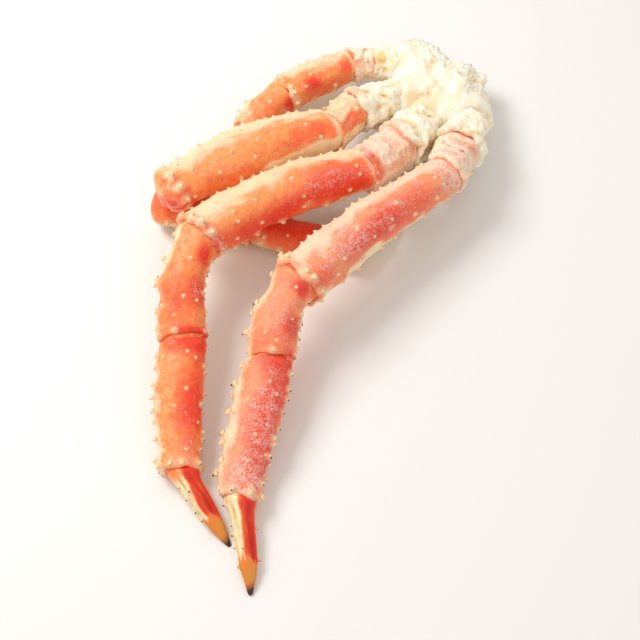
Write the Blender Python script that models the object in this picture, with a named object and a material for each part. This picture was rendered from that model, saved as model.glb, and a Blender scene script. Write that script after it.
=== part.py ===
"""King crab leg cluster: a shoulder of body meat with its claw arm and three walking legs.

Axes: +Z up, +Y from the leg tips towards the shoulder, +X towards the rear leg's side.
Origin: centre of the bounding box, on the surface that the cluster lies on.
The cluster lies on its side. The first walking leg is folded double at the knee and lies under
the other two, the claw is tucked under it, and the two long legs reach over them and down to
their tips. Every piece of shell is a closed solid with a cupped outer end, in which the knob of
the next piece sits with a small gap.
"""
import math
from collections import namedtuple

import bmesh
import bpy
from mathutils import Vector

MM = 0.001
JOINT_GAP = 0.6        # between the shells of two neighbouring pieces, mm
SOCKET_GAP = 0.4       # between the shoulder and the root of a limb, mm
KNOB = 0.22            # depth of a joint's knob and cup, as a share of the ring's width
DOME = 1.6             # depth of the rounded ends at the folded knee, in knobs
NECK_WIDTH = 0.62      # width of the ring between a knob's rim and its middle, as a share
NECK_DEPTH = 0.72      # depth of that ring, as a share of the knob's depth
MITRE_REACH = 1.15     # length over which a ring turns into the joint's plane, in widths
RING_CROWDING = 0.09   # how far the rings move towards a shell's two ends
SQUARENESS = 2.3       # exponent of the shell's cross-section: 2 is an ellipse
SHARP_ANGLE = 50       # edges sharper than this stay crisp, degrees
SPINE_FOOT = 0.42      # width of a spine's foot, as a share of the face it stands on
SPINE_LEAN = 0.35      # how far a spine leans towards the tip, in heights
SPINE_UNEVENNESS = 0.18
SECTORS = 14           # faces round a shell

# A piece of shell: length of its chord, compass heading and pitch of the chord in degrees, widths
# and depths from root to tip, sideways bow and upward rise of the middle, ends, rings of faces
# and rows of spines. Lengths are in millimetres.
Piece = namedtuple("Piece", "name length heading pitch widths depths bow rise ends rings rows")
# A row of spines: angle round the shell (0 outer side, 90 top, 180 inner side), count, height.
Row = namedtuple("Row", "angle count height")

WALKING_ROWS = (Row(10, 5, 2.6), Row(62, 3, 2.2), Row(118, 3, 2.2), Row(168, 4, 2.4))
SHORT_ROWS = (Row(10, 3, 2.6), Row(75, 2, 2.2), Row(165, 2, 2.4))
TOE_ROWS = (Row(15, 2, 1.6),)
BARE = ()

Limb = namedtuple("Limb", "root pieces")
LIMBS = {
    "arm": Limb((79.3, 210.1, 25.5), (
        Piece("coxa", 24, 161, -4, (24, 28, 30), (20, 26, 27), 0, 0, "knob cup", 5, BARE),
        Piece("ischium", 21.5, -179, 2.5, (26, 28, 29), (24, 26, 26), 1, 0, "knob cup", 4, BARE),
        Piece("merus", 65.5, -157.5, -2.5, (24, 30, 30), (23, 27, 27), 2, 1, "knob cup", 9,
              (Row(20, 3, 2.4), Row(100, 4, 2.6), Row(150, 3, 2.4))),
        Piece("carpus", 45, -138, -10, (25, 30, 28), (24, 27, 23), 2, 1, "knob cup", 7,
              (Row(20, 3, 2.8), Row(90, 3, 2.4))),
    )),
    "leg_front": Limb((66.8, 174.6, 29), (
        Piece("coxa", 39, -156.5, 9.6, (28, 35, 38), (28, 33, 35), 0, 0, "knob cup", 6, BARE),
        Piece("ischium", 32, -137.5, 10, (34, 36, 37), (32, 33, 33), 0, 0, "knob cup", 5,
              (Row(90, 2, 2.0),)),
        Piece("merus", 143, -157.5, 3, (34, 43, 32), (32, 35, 30), 6.2, 2.5, "knob dome", 12,
              WALKING_ROWS),
        Piece("carpus", 76, -18.5, -4, (26, 32, 30), (23, 26, 25), -2, 0, "dome cup", 8,
              SHORT_ROWS),
        Piece("propodus", 84, -21, -1.5, (26, 31, 25), (22, 24, 20), 0, 0, "knob cup", 9,
              SHORT_ROWS),
        Piece("dactylus", 56, 40, -3, (17, 14, 4), (15, 12, 4), 3, 0, "knob tip", 8, BARE),
    )),
    "leg_middle": Limb((88.3, 145.1, 28.5), (
        Piece("coxa", 34, -137, 10, (29, 37, 42), (29, 35, 38), 0, 0, "knob cup", 6, BARE),
        Piece("ischium", 44, -138, 11.5, (38, 38, 37), (34, 35, 34), 0, 0, "knob cup", 6,
              (Row(90, 2, 2.0),)),
        Piece("merus", 146.5, -158, 1.6, (34, 40, 40), (32, 36, 35), 6.7, 2.5, "knob cup", 12,
              WALKING_ROWS),
        Piece("carpus", 82.5, -102.5, -13, (31, 31, 36), (30, 30, 29), 5, 4, "knob cup", 9,
              WALKING_ROWS),
        Piece("propodus", 100.5, -94.3, -10.9, (33, 32, 27), (27, 25, 21), 1, 1, "knob cup", 11,
              WALKING_ROWS),
        Piece("dactylus", 66, -61.5, -8.5, (17.5, 16, 14.8, 11.5, 3.8), (16, 14, 12, 9, 3.6),
              0.5, 3, "knob tip", 9, TOE_ROWS),
    )),
    "leg_rear": Limb((126.3, 147.6, 26), (
        Piece("coxa", 35, -115.5, 10, (28, 35, 40), (28, 34, 37), 0, 0, "knob cup", 6, BARE),
        Piece("ischium", 36.5, -117, 13, (36, 36, 35), (34, 34, 34), 0, 0, "knob cup", 5, BARE),
        Piece("merus", 158, -143.2, 2.7, (31, 37, 41), (30, 34, 36), 2.2, 2.5, "knob cup", 12,
              WALKING_ROWS),
        Piece("carpus", 61.5, -115, -17, (30, 29.5, 35), (30, 29, 28), 4.5, 3, "knob cup", 8,
              WALKING_ROWS),
        Piece("propodus", 107, -107.7, -11, (31.5, 32, 27.5), (27, 25, 21), 1, 1, "knob cup", 11,
              WALKING_ROWS),
        Piece("dactylus", 70.5, -87.8, -7, (18.5, 16.5, 15.5, 12.5, 4), (17, 14.5, 12.5, 9.5, 3.6),
              -1, 3, "knob tip", 9, TOE_ROWS),
    )),
}
# The folded knee: the carpus starts beside and below the end of the merus.
FOLDED_KNEE_STEP = {("leg_front", "carpus"): (-10, 8, -31.8)}

# The claw at the end of the arm, curled inwards: palm with its fixed finger, and the free finger.
CLAW_HEADING = -65
CLAW_PITCH = -2.5
PALM = Piece("palm", 78, CLAW_HEADING, CLAW_PITCH, (23, 31, 31, 15, 10, 3), (19, 24, 23, 13, 9, 3),
             0, 0, "knob tip", 13, (Row(90, 2, 2.2),))
PALM_LEAN = (0, 0, 0, -8, -5, -1)      # sideways offset of the palm's rings, root to tip
FINGER = Piece("finger", 36, CLAW_HEADING - 8, CLAW_PITCH, (12, 11, 3), (13, 11, 3), 3, 0,
               "dome tip", 7, BARE)
FINGER_STEP = (43, 9)                  # start of the free finger: along the palm and sideways

# The shoulder: rounded bundles of meat that spread from one hub. Each has its compass heading,
# elevation, reach from the hub and half-width.
HUB = (101.3, 182.1, 19)
HUB_BACK = 9                           # how far every bundle reaches behind the hub, mm
LOBE_HALF_HEIGHT = 20.5
LOBES = (
    (128, 5, 43, 17), (117, 0, 61, 15), (99, 2, 52, 13), (80, 6, 36, 13), (55, 8, 27, 14),
    (28, 6, 33, 14), (2, 2, 39, 14), (-18, 0, 45, 14), (-38, 2, 50, 14), (-54, 6, 46, 17),
    (-82, 10, 40, 13), (-110, 8, 42, 17), (-140, 10, 36, 13), (-167, 8, 39, 17), (160, 8, 32, 14),
)
LOBE_BLEND = 9                         # exponent of the blend between bundles
SHOULDER_SECTORS = 34
SHOULDER_ROWS = 11

SHELL_COLOUR = (0.86, 0.24, 0.10)
DARK_SHELL_COLOUR = (0.72, 0.12, 0.03)
ROOT_COLOUR = (0.90, 0.66, 0.46)
MEAT_COLOUR = (0.93, 0.84, 0.62)
COLOURS = {"coxa": MEAT_COLOUR, "ischium": ROOT_COLOUR, "dactylus": DARK_SHELL_COLOUR,
           "finger": DARK_SHELL_COLOUR}


def direction(heading, pitch):
    """Unit vector along a compass heading and a pitch, both in degrees."""
    flat = math.cos(math.radians(pitch))
    return Vector((flat * math.cos(math.radians(heading)), flat * math.sin(math.radians(heading)),
                   math.sin(math.radians(pitch))))


def smooth_step(x):
    """0 below 0, 1 above 1, with an even rise between."""
    x = min(max(x, 0.0), 1.0)
    return x * x * (3 - 2 * x)


def through(values, s):
    """Smooth curve (Catmull-Rom) through evenly spaced values, at s from 0 to 1."""
    span = min(int(s * (len(values) - 1)), len(values) - 2)
    x = s * (len(values) - 1) - span
    p1, p2 = values[span], values[span + 1]
    p0 = values[span - 1] if span > 0 else 2 * p1 - p2
    p3 = values[span + 2] if span + 2 < len(values) else 2 * p2 - p1
    return p1 + 0.5 * x * (p2 - p0 + x * (2 * p0 - 5 * p1 + 4 * p2 - p3
                                          + x * (3 * (p1 - p2) + p3 - p0)))


def super_round(angle):
    """Point of the unit cross-section at an angle: a slightly squared circle."""
    c, s = math.cos(angle), math.sin(angle)
    power = 2 / SQUARENESS
    return math.copysign(abs(c) ** power, c), math.copysign(abs(s) ** power, s)


class Placed:
    """A piece set in the cluster: its start, its centre line and the planes of its two joints."""

    def __init__(self, piece, start, lean=None):
        self.piece = piece
        self.start = Vector(start)
        self.along = direction(piece.heading, piece.pitch)
        self.end = self.start + self.along * piece.length
        self.side = self.along.cross(Vector((0, 0, 1))).normalized()
        self.up = self.side.cross(self.along)
        self.lean = lean or (0, 0)
        self.start_plane = self.tangent(0)
        self.end_plane = self.tangent(1)

    def centre(self, s):
        arch = 4 * s * (1 - s)
        sideways = arch * self.piece.bow + through(self.lean, s)
        return (self.start + self.along * (s * self.piece.length) + self.side * sideways
                + self.up * (arch * self.piece.rise))

    def tangent(self, s):
        swing = 4 * (1 - 2 * s) / self.piece.length
        bend = self.side * (self.piece.bow * swing) + self.up * (self.piece.rise * swing)
        return (self.along + bend).normalized()


def set_joint(inner, outer):
    """Set the plane of a joint between the directions of its pieces, nearer the wider one's."""
    inner_weight = inner.piece.widths[-1] ** 2
    outer_weight = outer.piece.widths[0] ** 2
    plane = (inner.tangent(1) * inner_weight + outer.tangent(0) * outer_weight).normalized()
    inner.end_plane = plane
    outer.start_plane = plane


def station(s):
    """Spread rings towards both ends, where the shell turns."""
    return s - RING_CROWDING * math.sin(2 * math.pi * s)


def ring_points(placed, s, grow):
    """Points of one ring, turned into the joints' planes near the ends."""
    piece = placed.piece
    width = through(piece.widths, s) / 2 + grow
    depth = through(piece.depths, s) / 2 + grow
    along = placed.tangent(s)
    side = along.cross(Vector((0, 0, 1))).normalized()
    up = side.cross(along)
    reach = min(MITRE_REACH * max(piece.widths), piece.length)
    near_start = 1 - smooth_step(s * piece.length / reach)
    near_end = 1 - smooth_step((1 - s) * piece.length / reach)
    points = []
    for k in range(SECTORS):
        x, z = super_round(2 * math.pi * (k + 0.5) / SECTORS)
        radial = side * (width * x) + up * (depth * z)
        slide = 0.0
        for weight, plane in ((near_start, placed.start_plane), (near_end, placed.end_plane)):
            slide -= weight * radial.dot(plane) / along.dot(plane)
        points.append(placed.centre(s) + radial + along * slide)
    return points


def shrunk(points, centre, share, offset):
    """A ring drawn in towards a centre and moved by an offset."""
    return [centre + (point - centre) * share + offset for point in points]


def shell_rings(placed, grow=0.0):
    """All rings of a piece from the middle of its root to the middle of its tip."""
    piece = placed.piece
    root_end, tip_end = piece.ends.split()
    body = [ring_points(placed, station(i / piece.rings), grow) for i in range(piece.rings + 1)]
    half_gap = JOINT_GAP / 2
    knob = placed.start_plane * (KNOB * piece.widths[0] * (DOME if root_end == "dome" else 1))
    cup = placed.end_plane * (KNOB * piece.widths[-1] * (1 if tip_end == "cup" else -DOME))
    step_in = placed.start_plane * (half_gap - grow)
    step_out = placed.end_plane * (grow - half_gap)
    body = [[point + step_in * (1 - i / piece.rings) + step_out * (i / piece.rings)
             for point in ring] for i, ring in enumerate(body)]
    start, end = placed.start + step_in, placed.end + step_out
    return ([[start - knob], shrunk(body[0], start, NECK_WIDTH, -NECK_DEPTH * knob)] + body
            + [shrunk(body[-1], end, NECK_WIDTH, -NECK_DEPTH * cup), [end - cup]])


def skin(bm, rings):
    """Join rings of points with faces; a ring of one point closes the skin."""
    vert_rings = [[bm.verts.new(point) for point in ring] for ring in rings]
    bands = []
    for lower, upper in zip(vert_rings, vert_rings[1:]):
        count = max(len(lower), len(upper))
        band = []
        for k in range(count):
            corners = [lower[k % len(lower)], upper[k % len(upper)],
                       upper[(k + 1) % len(upper)], lower[(k + 1) % len(lower)]]
            band.append(bm.faces.new(dict.fromkeys(corners)))
        bands.append(band)
    bm.normal_update()
    return bands


def raise_spine(bm, face, height, along):
    """Draw a face in to a small foot and pull a cone out of it, leaning towards the tip."""
    foot = face.calc_center_median()
    lift = face.normal.copy() * height + along * (SPINE_LEAN * height)
    bmesh.ops.inset_individual(bm, faces=[face], thickness=0.05)
    for vert in face.verts:
        vert.co = foot + (vert.co - foot) * SPINE_FOOT
    apex = bmesh.ops.poke(bm, faces=[face])["verts"][0]
    apex.co = foot + lift


def add_spines(bm, placed, bands):
    """Set each row's spines at even steps along the shell, staggered from row to row."""
    body = bands[2:-2]
    for index, row in enumerate(placed.piece.rows):
        sector = int(SECTORS * row.angle / 360 - 0.5) % SECTORS
        for k in range(row.count):
            s = (k + 0.5 + 0.2 * (-1) ** index) / row.count
            face = body[min(int(s * len(body)), len(body) - 1)][sector]
            height = row.height * (1 + SPINE_UNEVENNESS * math.sin(2.3 * k + 1.7 * index))
            if len(face.verts) == 4:
                raise_spine(bm, face, height, placed.along)


def finish_mesh(bm, name, origin):
    """Rest what is below the surface on it, and make the mesh in metres about its origin."""
    for vert in bm.verts:
        vert.co.z = max(vert.co.z, 0)
        vert.co = (vert.co - origin) * MM
    mesh = bpy.data.meshes.new(name)
    bm.to_mesh(mesh)
    bm.free()
    mesh.shade_smooth()
    mesh.set_sharp_from_angle(angle=math.radians(SHARP_ANGLE))
    return mesh


def material(name, colour, roughness):
    """Principled material of one sub-part."""
    made = bpy.data.materials.new(name)
    made.use_nodes = True
    shader = made.node_tree.nodes["Principled BSDF"]
    shader.inputs["Base Color"].default_value = (*colour, 1)
    shader.inputs["Roughness"].default_value = roughness
    shader.inputs["Metallic"].default_value = 0
    return made


def add_object(name, mesh, origin, colour, parent, roughness=0.45):
    """Put a finished mesh in the scene at its origin."""
    made = bpy.data.objects.new(name, mesh)
    mesh.materials.append(material(name, colour, roughness))
    made.location = origin * MM
    made.parent = parent
    bpy.context.scene.collection.objects.link(made)
    return made


def shell_mesh(placed, name, grow=0.0):
    """Closed mesh of one piece; grow makes it larger all round, for a socket."""
    bm = bmesh.new()
    bands = skin(bm, shell_rings(placed, grow))
    if grow == 0:
        add_spines(bm, placed, bands)
    return finish_mesh(bm, name, placed.start)


def add_piece(placed, name, parent):
    """Object of one piece of shell."""
    colour = COLOURS.get(placed.piece.name, SHELL_COLOUR)
    return add_object(name, shell_mesh(placed, name), placed.start, colour, parent)


def place_limb(limb_name, limb):
    """Place a limb's pieces end to end and set the planes of its joints."""
    placed = []
    start = Vector(limb.root)
    for piece in limb.pieces:
        start = start + Vector(FOLDED_KNEE_STEP.get((limb_name, piece.name), (0, 0, 0)))
        placed.append(Placed(piece, start))
        start = placed[-1].end
    for inner, outer in zip(placed, placed[1:]):
        if inner.piece.ends.endswith("cup"):
            set_joint(inner, outer)
    return placed


def add_claw(wrist, parent):
    """The curled claw at the end of the arm's last piece."""
    palm = Placed(PALM, wrist.end, PALM_LEAN)
    set_joint(wrist, palm)
    finger_start = palm.start + palm.along * FINGER_STEP[0] + palm.side * FINGER_STEP[1]
    finger = Placed(FINGER, finger_start)
    add_piece(palm, "arm_palm", parent)
    add_piece(finger, "arm_finger", parent)


def lobe_reach(ray, lobe):
    """Distance from the hub to a bundle's surface along a ray; the bundle is an ellipsoid."""
    heading, elevation, reach, half_width = lobe
    axis = direction(heading, elevation)
    side = axis.cross(Vector((0, 0, 1))).normalized()
    up = side.cross(axis)
    centre = (reach - HUB_BACK) / 2
    radii = ((reach + HUB_BACK) / 2, half_width, LOBE_HALF_HEIGHT)
    scaled = Vector((ray.dot(axis) / radii[0], ray.dot(side) / radii[1], ray.dot(up) / radii[2]))
    offset = centre / radii[0]
    a = scaled.dot(scaled)
    b = scaled.x * offset
    return (b + math.sqrt(b * b + a * (1 - offset * offset))) / a


def shoulder_mesh(name):
    """Closed skin of the blended bundles, flat where it rests."""
    hub = Vector(HUB)
    rings = []
    for row in range(SHOULDER_ROWS + 1):
        tilt = -90 + 180 * row / SHOULDER_ROWS
        count = 1 if row in (0, SHOULDER_ROWS) else SHOULDER_SECTORS
        ring = []
        for k in range(count):
            ray = direction(-360 * k / SHOULDER_SECTORS, tilt)
            reach = sum(lobe_reach(ray, lobe) ** LOBE_BLEND for lobe in LOBES) ** (1 / LOBE_BLEND)
            ring.append(hub + ray * reach)
        rings.append(ring)
    bm = bmesh.new()
    skin(bm, rings)
    return finish_mesh(bm, name, hub)


def add_shoulder(roots, parent):
    """The shoulder, with a socket cut for the root of each limb."""
    name = "shoulder"
    shoulder = add_object(name, shoulder_mesh(name), Vector(HUB), MEAT_COLOUR, parent, 0.6)
    for limb_name, root in roots.items():
        cutter_name = limb_name + "_socket"
        cutter_mesh = shell_mesh(root, cutter_name, SOCKET_GAP)
        cutter = add_object(cutter_name, cutter_mesh, root.start, MEAT_COLOUR, parent)
        cutter.hide_render = True
        cutter.display_type = "WIRE"
        cut = shoulder.modifiers.new(cutter_name, "BOOLEAN")
        cut.operation = "DIFFERENCE"
        cut.object = cutter
    return shoulder


for old in list(bpy.data.objects):
    bpy.data.objects.remove(old)

cluster = bpy.data.objects.new("cluster", None)
bpy.context.scene.collection.objects.link(cluster)

limbs = {limb_name: place_limb(limb_name, limb) for limb_name, limb in LIMBS.items()}
add_claw(limbs["arm"][-1], cluster)
for limb_name, limb in limbs.items():
    for placed_piece in limb:
        add_piece(placed_piece, limb_name + "_" + placed_piece.piece.name, cluster)
add_shoulder({limb_name: limb[0] for limb_name, limb in limbs.items()}, cluster)
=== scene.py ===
"""King crab leg cluster: shoulder meat, claw arm, three walking legs, and frost on the shells."""
import math
from collections import namedtuple

import bpy
import numpy as np
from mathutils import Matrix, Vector


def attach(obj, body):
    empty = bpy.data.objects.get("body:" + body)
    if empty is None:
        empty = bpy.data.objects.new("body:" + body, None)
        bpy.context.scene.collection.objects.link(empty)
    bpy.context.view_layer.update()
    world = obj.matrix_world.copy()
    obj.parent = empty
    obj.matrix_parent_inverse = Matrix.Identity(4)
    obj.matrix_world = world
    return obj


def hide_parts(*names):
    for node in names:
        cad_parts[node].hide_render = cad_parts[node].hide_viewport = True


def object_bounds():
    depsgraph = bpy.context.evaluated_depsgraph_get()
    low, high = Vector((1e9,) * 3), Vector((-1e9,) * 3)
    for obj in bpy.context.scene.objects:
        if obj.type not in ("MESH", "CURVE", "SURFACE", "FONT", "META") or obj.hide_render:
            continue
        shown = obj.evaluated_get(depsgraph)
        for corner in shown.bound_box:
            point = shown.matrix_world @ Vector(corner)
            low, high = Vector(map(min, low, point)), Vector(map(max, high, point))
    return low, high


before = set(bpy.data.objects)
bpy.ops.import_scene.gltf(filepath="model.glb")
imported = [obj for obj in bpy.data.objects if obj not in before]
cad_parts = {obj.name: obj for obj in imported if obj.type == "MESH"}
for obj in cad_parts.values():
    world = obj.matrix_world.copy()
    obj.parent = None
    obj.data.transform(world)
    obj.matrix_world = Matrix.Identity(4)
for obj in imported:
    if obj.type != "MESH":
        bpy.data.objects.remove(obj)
cad_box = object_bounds()

# ------------------------------------------------------------------------------------------
# The skeleton of the four limbs: every limb is a chain of shells that starts in the shoulder.
# Each shell has a straight chord, a bow, and an oval section that changes from root to tip; the
# ends of two neighbours share one plane, so that they meet like the two halves of a mitre.
MM = 0.001
UP = np.array([0.0, 0.0, 1.0])
# How far the skins keep off the floor and two shells off each other, and the step of the grids.
FLOOR_GAP = 0.02
JOINT_GAP = 0.6
GRID_STEP = 0.62
# Height of a shell's rounded end as a share of its width, and how much higher a bare end stands.
KNOB = 0.22
DOME = 1.6
# How far a joint's slant reaches along a shell, in widths, and the power of its ovals.
MITRE_REACH = 1.15
SQUARENESS = 2.3
KNOB_ROWS, CUP_ROWS, TIP_ROWS = 14, 10, 24
# The rolled rim of a cup, in shares of its width: how far each row has turned in and stepped out.
RIM_TURNED = np.array([0.08, 0.3, 0.65, 0.92])
RIM_STEPS = np.array([0.22, 0.4, 0.4, 0.15])

# Chord, compass heading and pitch, widths and depths from root to tip, sideways bow, rise, ends.
Piece = namedtuple("Piece", "name length heading pitch widths depths bow rise ends")
Limb = namedtuple("Limb", "root pieces")
LIMBS = {
    "arm": Limb((79.3, 210.1, 25.5), (
        Piece("coxa", 24, 161, -4, (24, 28, 30), (20, 26, 27), 0, 0, "knob cup"),
        Piece("ischium", 21.5, -179, 2.5, (26, 28, 29), (24, 26, 26), 1, 0, "knob cup"),
        Piece("merus", 65.5, -157.5, -2.5, (24, 30, 30), (23, 27, 27), 2, 1, "knob cup"),
        Piece("carpus", 45, -138, -10, (25, 30, 28), (24, 27, 23), 2, 1, "knob cup"),
    )),
    "leg_front": Limb((66.8, 174.6, 29), (
        Piece("coxa", 39, -156.5, 9.6, (28, 35, 38), (28, 33, 35), 0, 0, "knob cup"),
        Piece("ischium", 32, -137.5, 10, (34, 36, 37), (32, 33, 33), 0, 0, "knob cup"),
        Piece("merus", 143, -157.5, 3, (34, 43, 32), (32, 35, 30), 6.2, 2.5, "knob dome"),
        Piece("carpus", 76, -18.5, -4, (26, 32, 30), (23, 26, 25), -2, 0, "dome cup"),
        Piece("propodus", 84, -21, -1.5, (26, 31, 25), (22, 24, 20), 0, 0, "knob cup"),
        Piece("dactylus", 56, 40, -3, (17, 14, 4), (15, 12, 4), 3, 0, "knob tip"),
    )),
    "leg_middle": Limb((88.3, 145.1, 28.5), (
        Piece("coxa", 34, -137, 10, (29, 37, 42), (29, 35, 38), 0, 0, "knob cup"),
        Piece("ischium", 44, -138, 11.5, (38, 38, 37), (34, 35, 34), 0, 0, "knob cup"),
        Piece("merus", 146.5, -158, 1.6, (34, 40, 40), (32, 36, 35), 6.7, 2.5, "knob cup"),
        Piece("carpus", 82.5, -102.5, -13, (31, 31, 36), (30, 30, 29), 5, 4, "knob cup"),
        Piece("propodus", 100.5, -94.3, -10.9, (33, 32, 27), (27, 25, 21), 1, 1, "knob cup"),
        Piece("dactylus", 66, -61.5, -8.5, (17.5, 16, 14.8, 11.5, 3.8), (16, 14, 12, 9, 3.6),
              0.5, 3, "knob tip"),
    )),
    "leg_rear": Limb((126.3, 147.6, 26), (
        Piece("coxa", 35, -115.5, 10, (28, 35, 40), (28, 34, 37), 0, 0, "knob cup"),
        Piece("ischium", 36.5, -117, 13, (36, 36, 35), (34, 34, 34), 0, 0, "knob cup"),
        Piece("merus", 158, -143.2, 2.7, (31, 37, 41), (30, 34, 36), 2.2, 2.5, "knob cup"),
        Piece("carpus", 61.5, -115, -17, (30, 29.5, 35), (30, 29, 28), 4.5, 3, "knob cup"),
        Piece("propodus", 107, -107.7, -11, (31.5, 32, 27.5), (27, 25, 21), 1, 1, "knob cup"),
        Piece("dactylus", 70.5, -87.8, -7, (18.5, 16.5, 15.5, 12.5, 4), (17, 14.5, 12.5, 9.5, 3.6),
              -1, 3, "knob tip"),
    )),
}
# The front leg is folded double: its outer half starts this far from its knee, underneath.
FOLDED_KNEE_STEP = (-10, 8, -31.8)


def compass(heading, pitch):
    """Unit vectors along compass headings and pitches in degrees."""
    heading, pitch = np.radians(heading), np.radians(pitch)
    return np.stack([np.cos(pitch) * np.cos(heading), np.cos(pitch) * np.sin(heading),
                     np.sin(pitch) + 0 * heading], -1)


def unit(vectors):
    """The vectors at length 1."""
    return vectors / np.maximum(np.linalg.norm(vectors, axis=-1, keepdims=True), 1e-9)


def smooth(x):
    """0 below 0, 1 above 1, with an S-curve between."""
    x = np.clip(x, 0, 1)
    return x * x * (3 - 2 * x)


def through(values, s):
    """Smooth curve (Catmull-Rom) through evenly spaced values, at s from 0 to 1."""
    values = np.asarray(values, float)
    values = np.concatenate([[2 * values[0] - values[1]], values, [2 * values[-1] - values[-2]]])
    span = np.minimum((s * (len(values) - 3)).astype(int), len(values) - 4)
    x = s * (len(values) - 3) - span
    p0, p1, p2, p3 = (values[span + k] for k in range(4))
    return p1 + 0.5 * x * (p2 - p0 + x * (2 * p0 - 5 * p1 + 4 * p2 - p3
                                          + x * (3 * (p1 - p2) + p3 - p0)))


def quarter_turn(rows):
    """Angles spaced evenly between 0 and a right angle, without those two."""
    return np.linspace(0, math.pi / 2, rows + 2)[1:-1]


class Shell:
    """One shell in its place, as a grid of points: rows from root to tip, columns round it."""

    def __init__(self, piece, start, lean=(0, 0)):
        self.piece = piece
        self.start = np.array(start, float)
        self.along = compass(piece.heading, piece.pitch)
        self.side = unit(np.cross(self.along, UP))
        self.up = np.cross(self.side, self.along)
        self.end = self.start + self.along * piece.length
        self.lean = lean
        self.start_plane, self.end_plane = self.tangent(np.array([0.0, 1.0]))
        self.masks, self.feet = {}, []

    def centre(self, s):
        """Chord, plus a parabola sideways and upwards."""
        arch = 4 * s * (1 - s)
        sideways = arch * self.piece.bow + through(self.lean, s)
        return (self.start + np.outer(s * self.piece.length, self.along)
                + np.outer(sideways, self.side) + np.outer(arch * self.piece.rise, self.up))

    def tangent(self, s):
        """Slope of the centre line."""
        swing = 4 * (1 - 2 * s) / self.piece.length
        return unit(self.along + np.outer(swing * self.piece.bow, self.side)
                    + np.outer(swing * self.piece.rise, self.up))

    def rings(self, s, angle):
        """Squared ovals round the centre line, sheared near the ends into the joints' planes."""
        piece = self.piece
        along = self.tangent(s)
        side = unit(np.cross(along, UP))
        up = np.cross(side, along)
        x, z = (np.sign(wave) * np.abs(wave) ** (2 / SQUARENESS)
                for wave in (np.cos(angle), np.sin(angle)))
        radial = (side[:, None] * np.outer(through(piece.widths, s) / 2, x)[..., None]
                  + up[:, None] * np.outer(through(piece.depths, s) / 2, z)[..., None])
        reach = min(MITRE_REACH * max(piece.widths), piece.length)
        slide = np.zeros(radial.shape[:2])
        for gone, plane in ((s, self.start_plane), (1 - s, self.end_plane)):
            near = 1 - smooth(gone * piece.length / reach)
            slide -= (near / (along @ plane))[:, None] * (radial @ plane)
        shift = JOINT_GAP / 2 * (np.outer(1 - s, self.start_plane) - np.outer(s, self.end_plane))
        return (self.centre(s) + shift)[:, None] + radial + along[:, None] * slide[..., None]

    def lay_grid(self, lip=1.0):
        """Rows through the knob at the root, the body, a rim of width `lip`, and the cup or tip."""
        piece = self.piece
        root_end, tip_end = piece.ends.split()
        knob = KNOB * piece.widths[0] * (DOME if root_end == "dome" else 1)
        cup = KNOB * piece.widths[-1]
        if tip_end == "cup":
            turn = quarter_turn(CUP_ROWS)
            hollow = 1 - lip / (piece.widths[-1] / 2)
            tip_share = np.concatenate([1 - (1 - hollow) * RIM_TURNED, hollow * np.cos(turn)])
            tip_step = np.concatenate([lip * RIM_STEPS, -cup * np.sin(turn)])
        else:
            turn = quarter_turn(TIP_ROWS)
            tip_share, tip_step = np.cos(turn), cup * DOME * np.sin(turn)
        turn = quarter_turn(KNOB_ROWS)
        root, body = np.zeros(KNOB_ROWS), np.zeros(int(piece.length / GRID_STEP))
        self.s = np.concatenate([root, np.linspace(0, 1, len(body)), np.ones(len(tip_share))])
        share = np.concatenate([np.sin(turn), body + 1, tip_share])
        root_step = np.concatenate([-knob * np.cos(turn), body, np.zeros(len(tip_step))])
        tip_step = np.concatenate([root, body, tip_step])
        columns = int(math.pi * max(piece.widths) / GRID_STEP)
        self.angle = 360 * (np.arange(columns) + 0.5) / columns
        rings = self.rings(self.s, np.radians(self.angle))
        centre = rings.mean(1, keepdims=True)
        step = np.outer(root_step, self.start_plane) + np.outer(tip_step, self.end_plane)
        self.points = centre + (rings - centre) * share[:, None, None] + step[:, None]
        self.poles = (self.points[0].mean(0), self.points[-1].mean(0))
        self.from_root = (self.s * piece.length - (self.s == 0) * knob * (1 - share))[:, None]
        self.to_tip = ((1 - self.s) * piece.length)[:, None]
        self.firm = (share * (tip_step >= 0))[:, None]
        self.swell, self.slip = np.zeros((2, *self.points.shape[:2]))
        self.find_normals()
        self.base = self.points.copy()

    def find_normals(self):
        """Outward normals: the slope from root to tip crossed with the slope round the shell."""
        lengthwise = np.gradient(self.points, axis=0)
        around = np.roll(self.points, -1, 1) - np.roll(self.points, 1, 1)
        self.normals = unit(np.cross(lengthwise, around))

    def press(self):
        """Move the points out by the swell and towards the tip by the slip, and rest them."""
        self.points = (self.base + self.normals * (self.swell * self.firm)[..., None]
                       + self.end_plane * (self.slip * self.firm)[..., None])
        self.points[..., 2] = np.maximum(self.points[..., 2], FLOOR_GAP)
        self.find_normals()


def chain(limb, folded):
    """The limb's shells end to end, with the planes of their joints set nearer the wider one's."""
    shells = []
    start = np.array(limb.root, float)
    for piece in limb.pieces:
        if folded and piece.name == "carpus":
            start = start + np.array(FOLDED_KNEE_STEP)
        shells.append(Shell(piece, start))
        start = shells[-1].end
    for inner, outer in zip(shells, shells[1:]):
        if inner.piece.ends.endswith("cup"):
            plane = unit(inner.end_plane * inner.piece.widths[-1] ** 2
                         + outer.start_plane * outer.piece.widths[0] ** 2)
            inner.end_plane = outer.start_plane = plane
    return {shell.piece.name: shell for shell in shells}


limbs = {name: chain(limb, name == "leg_front") for name, limb in LIMBS.items()}

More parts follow.
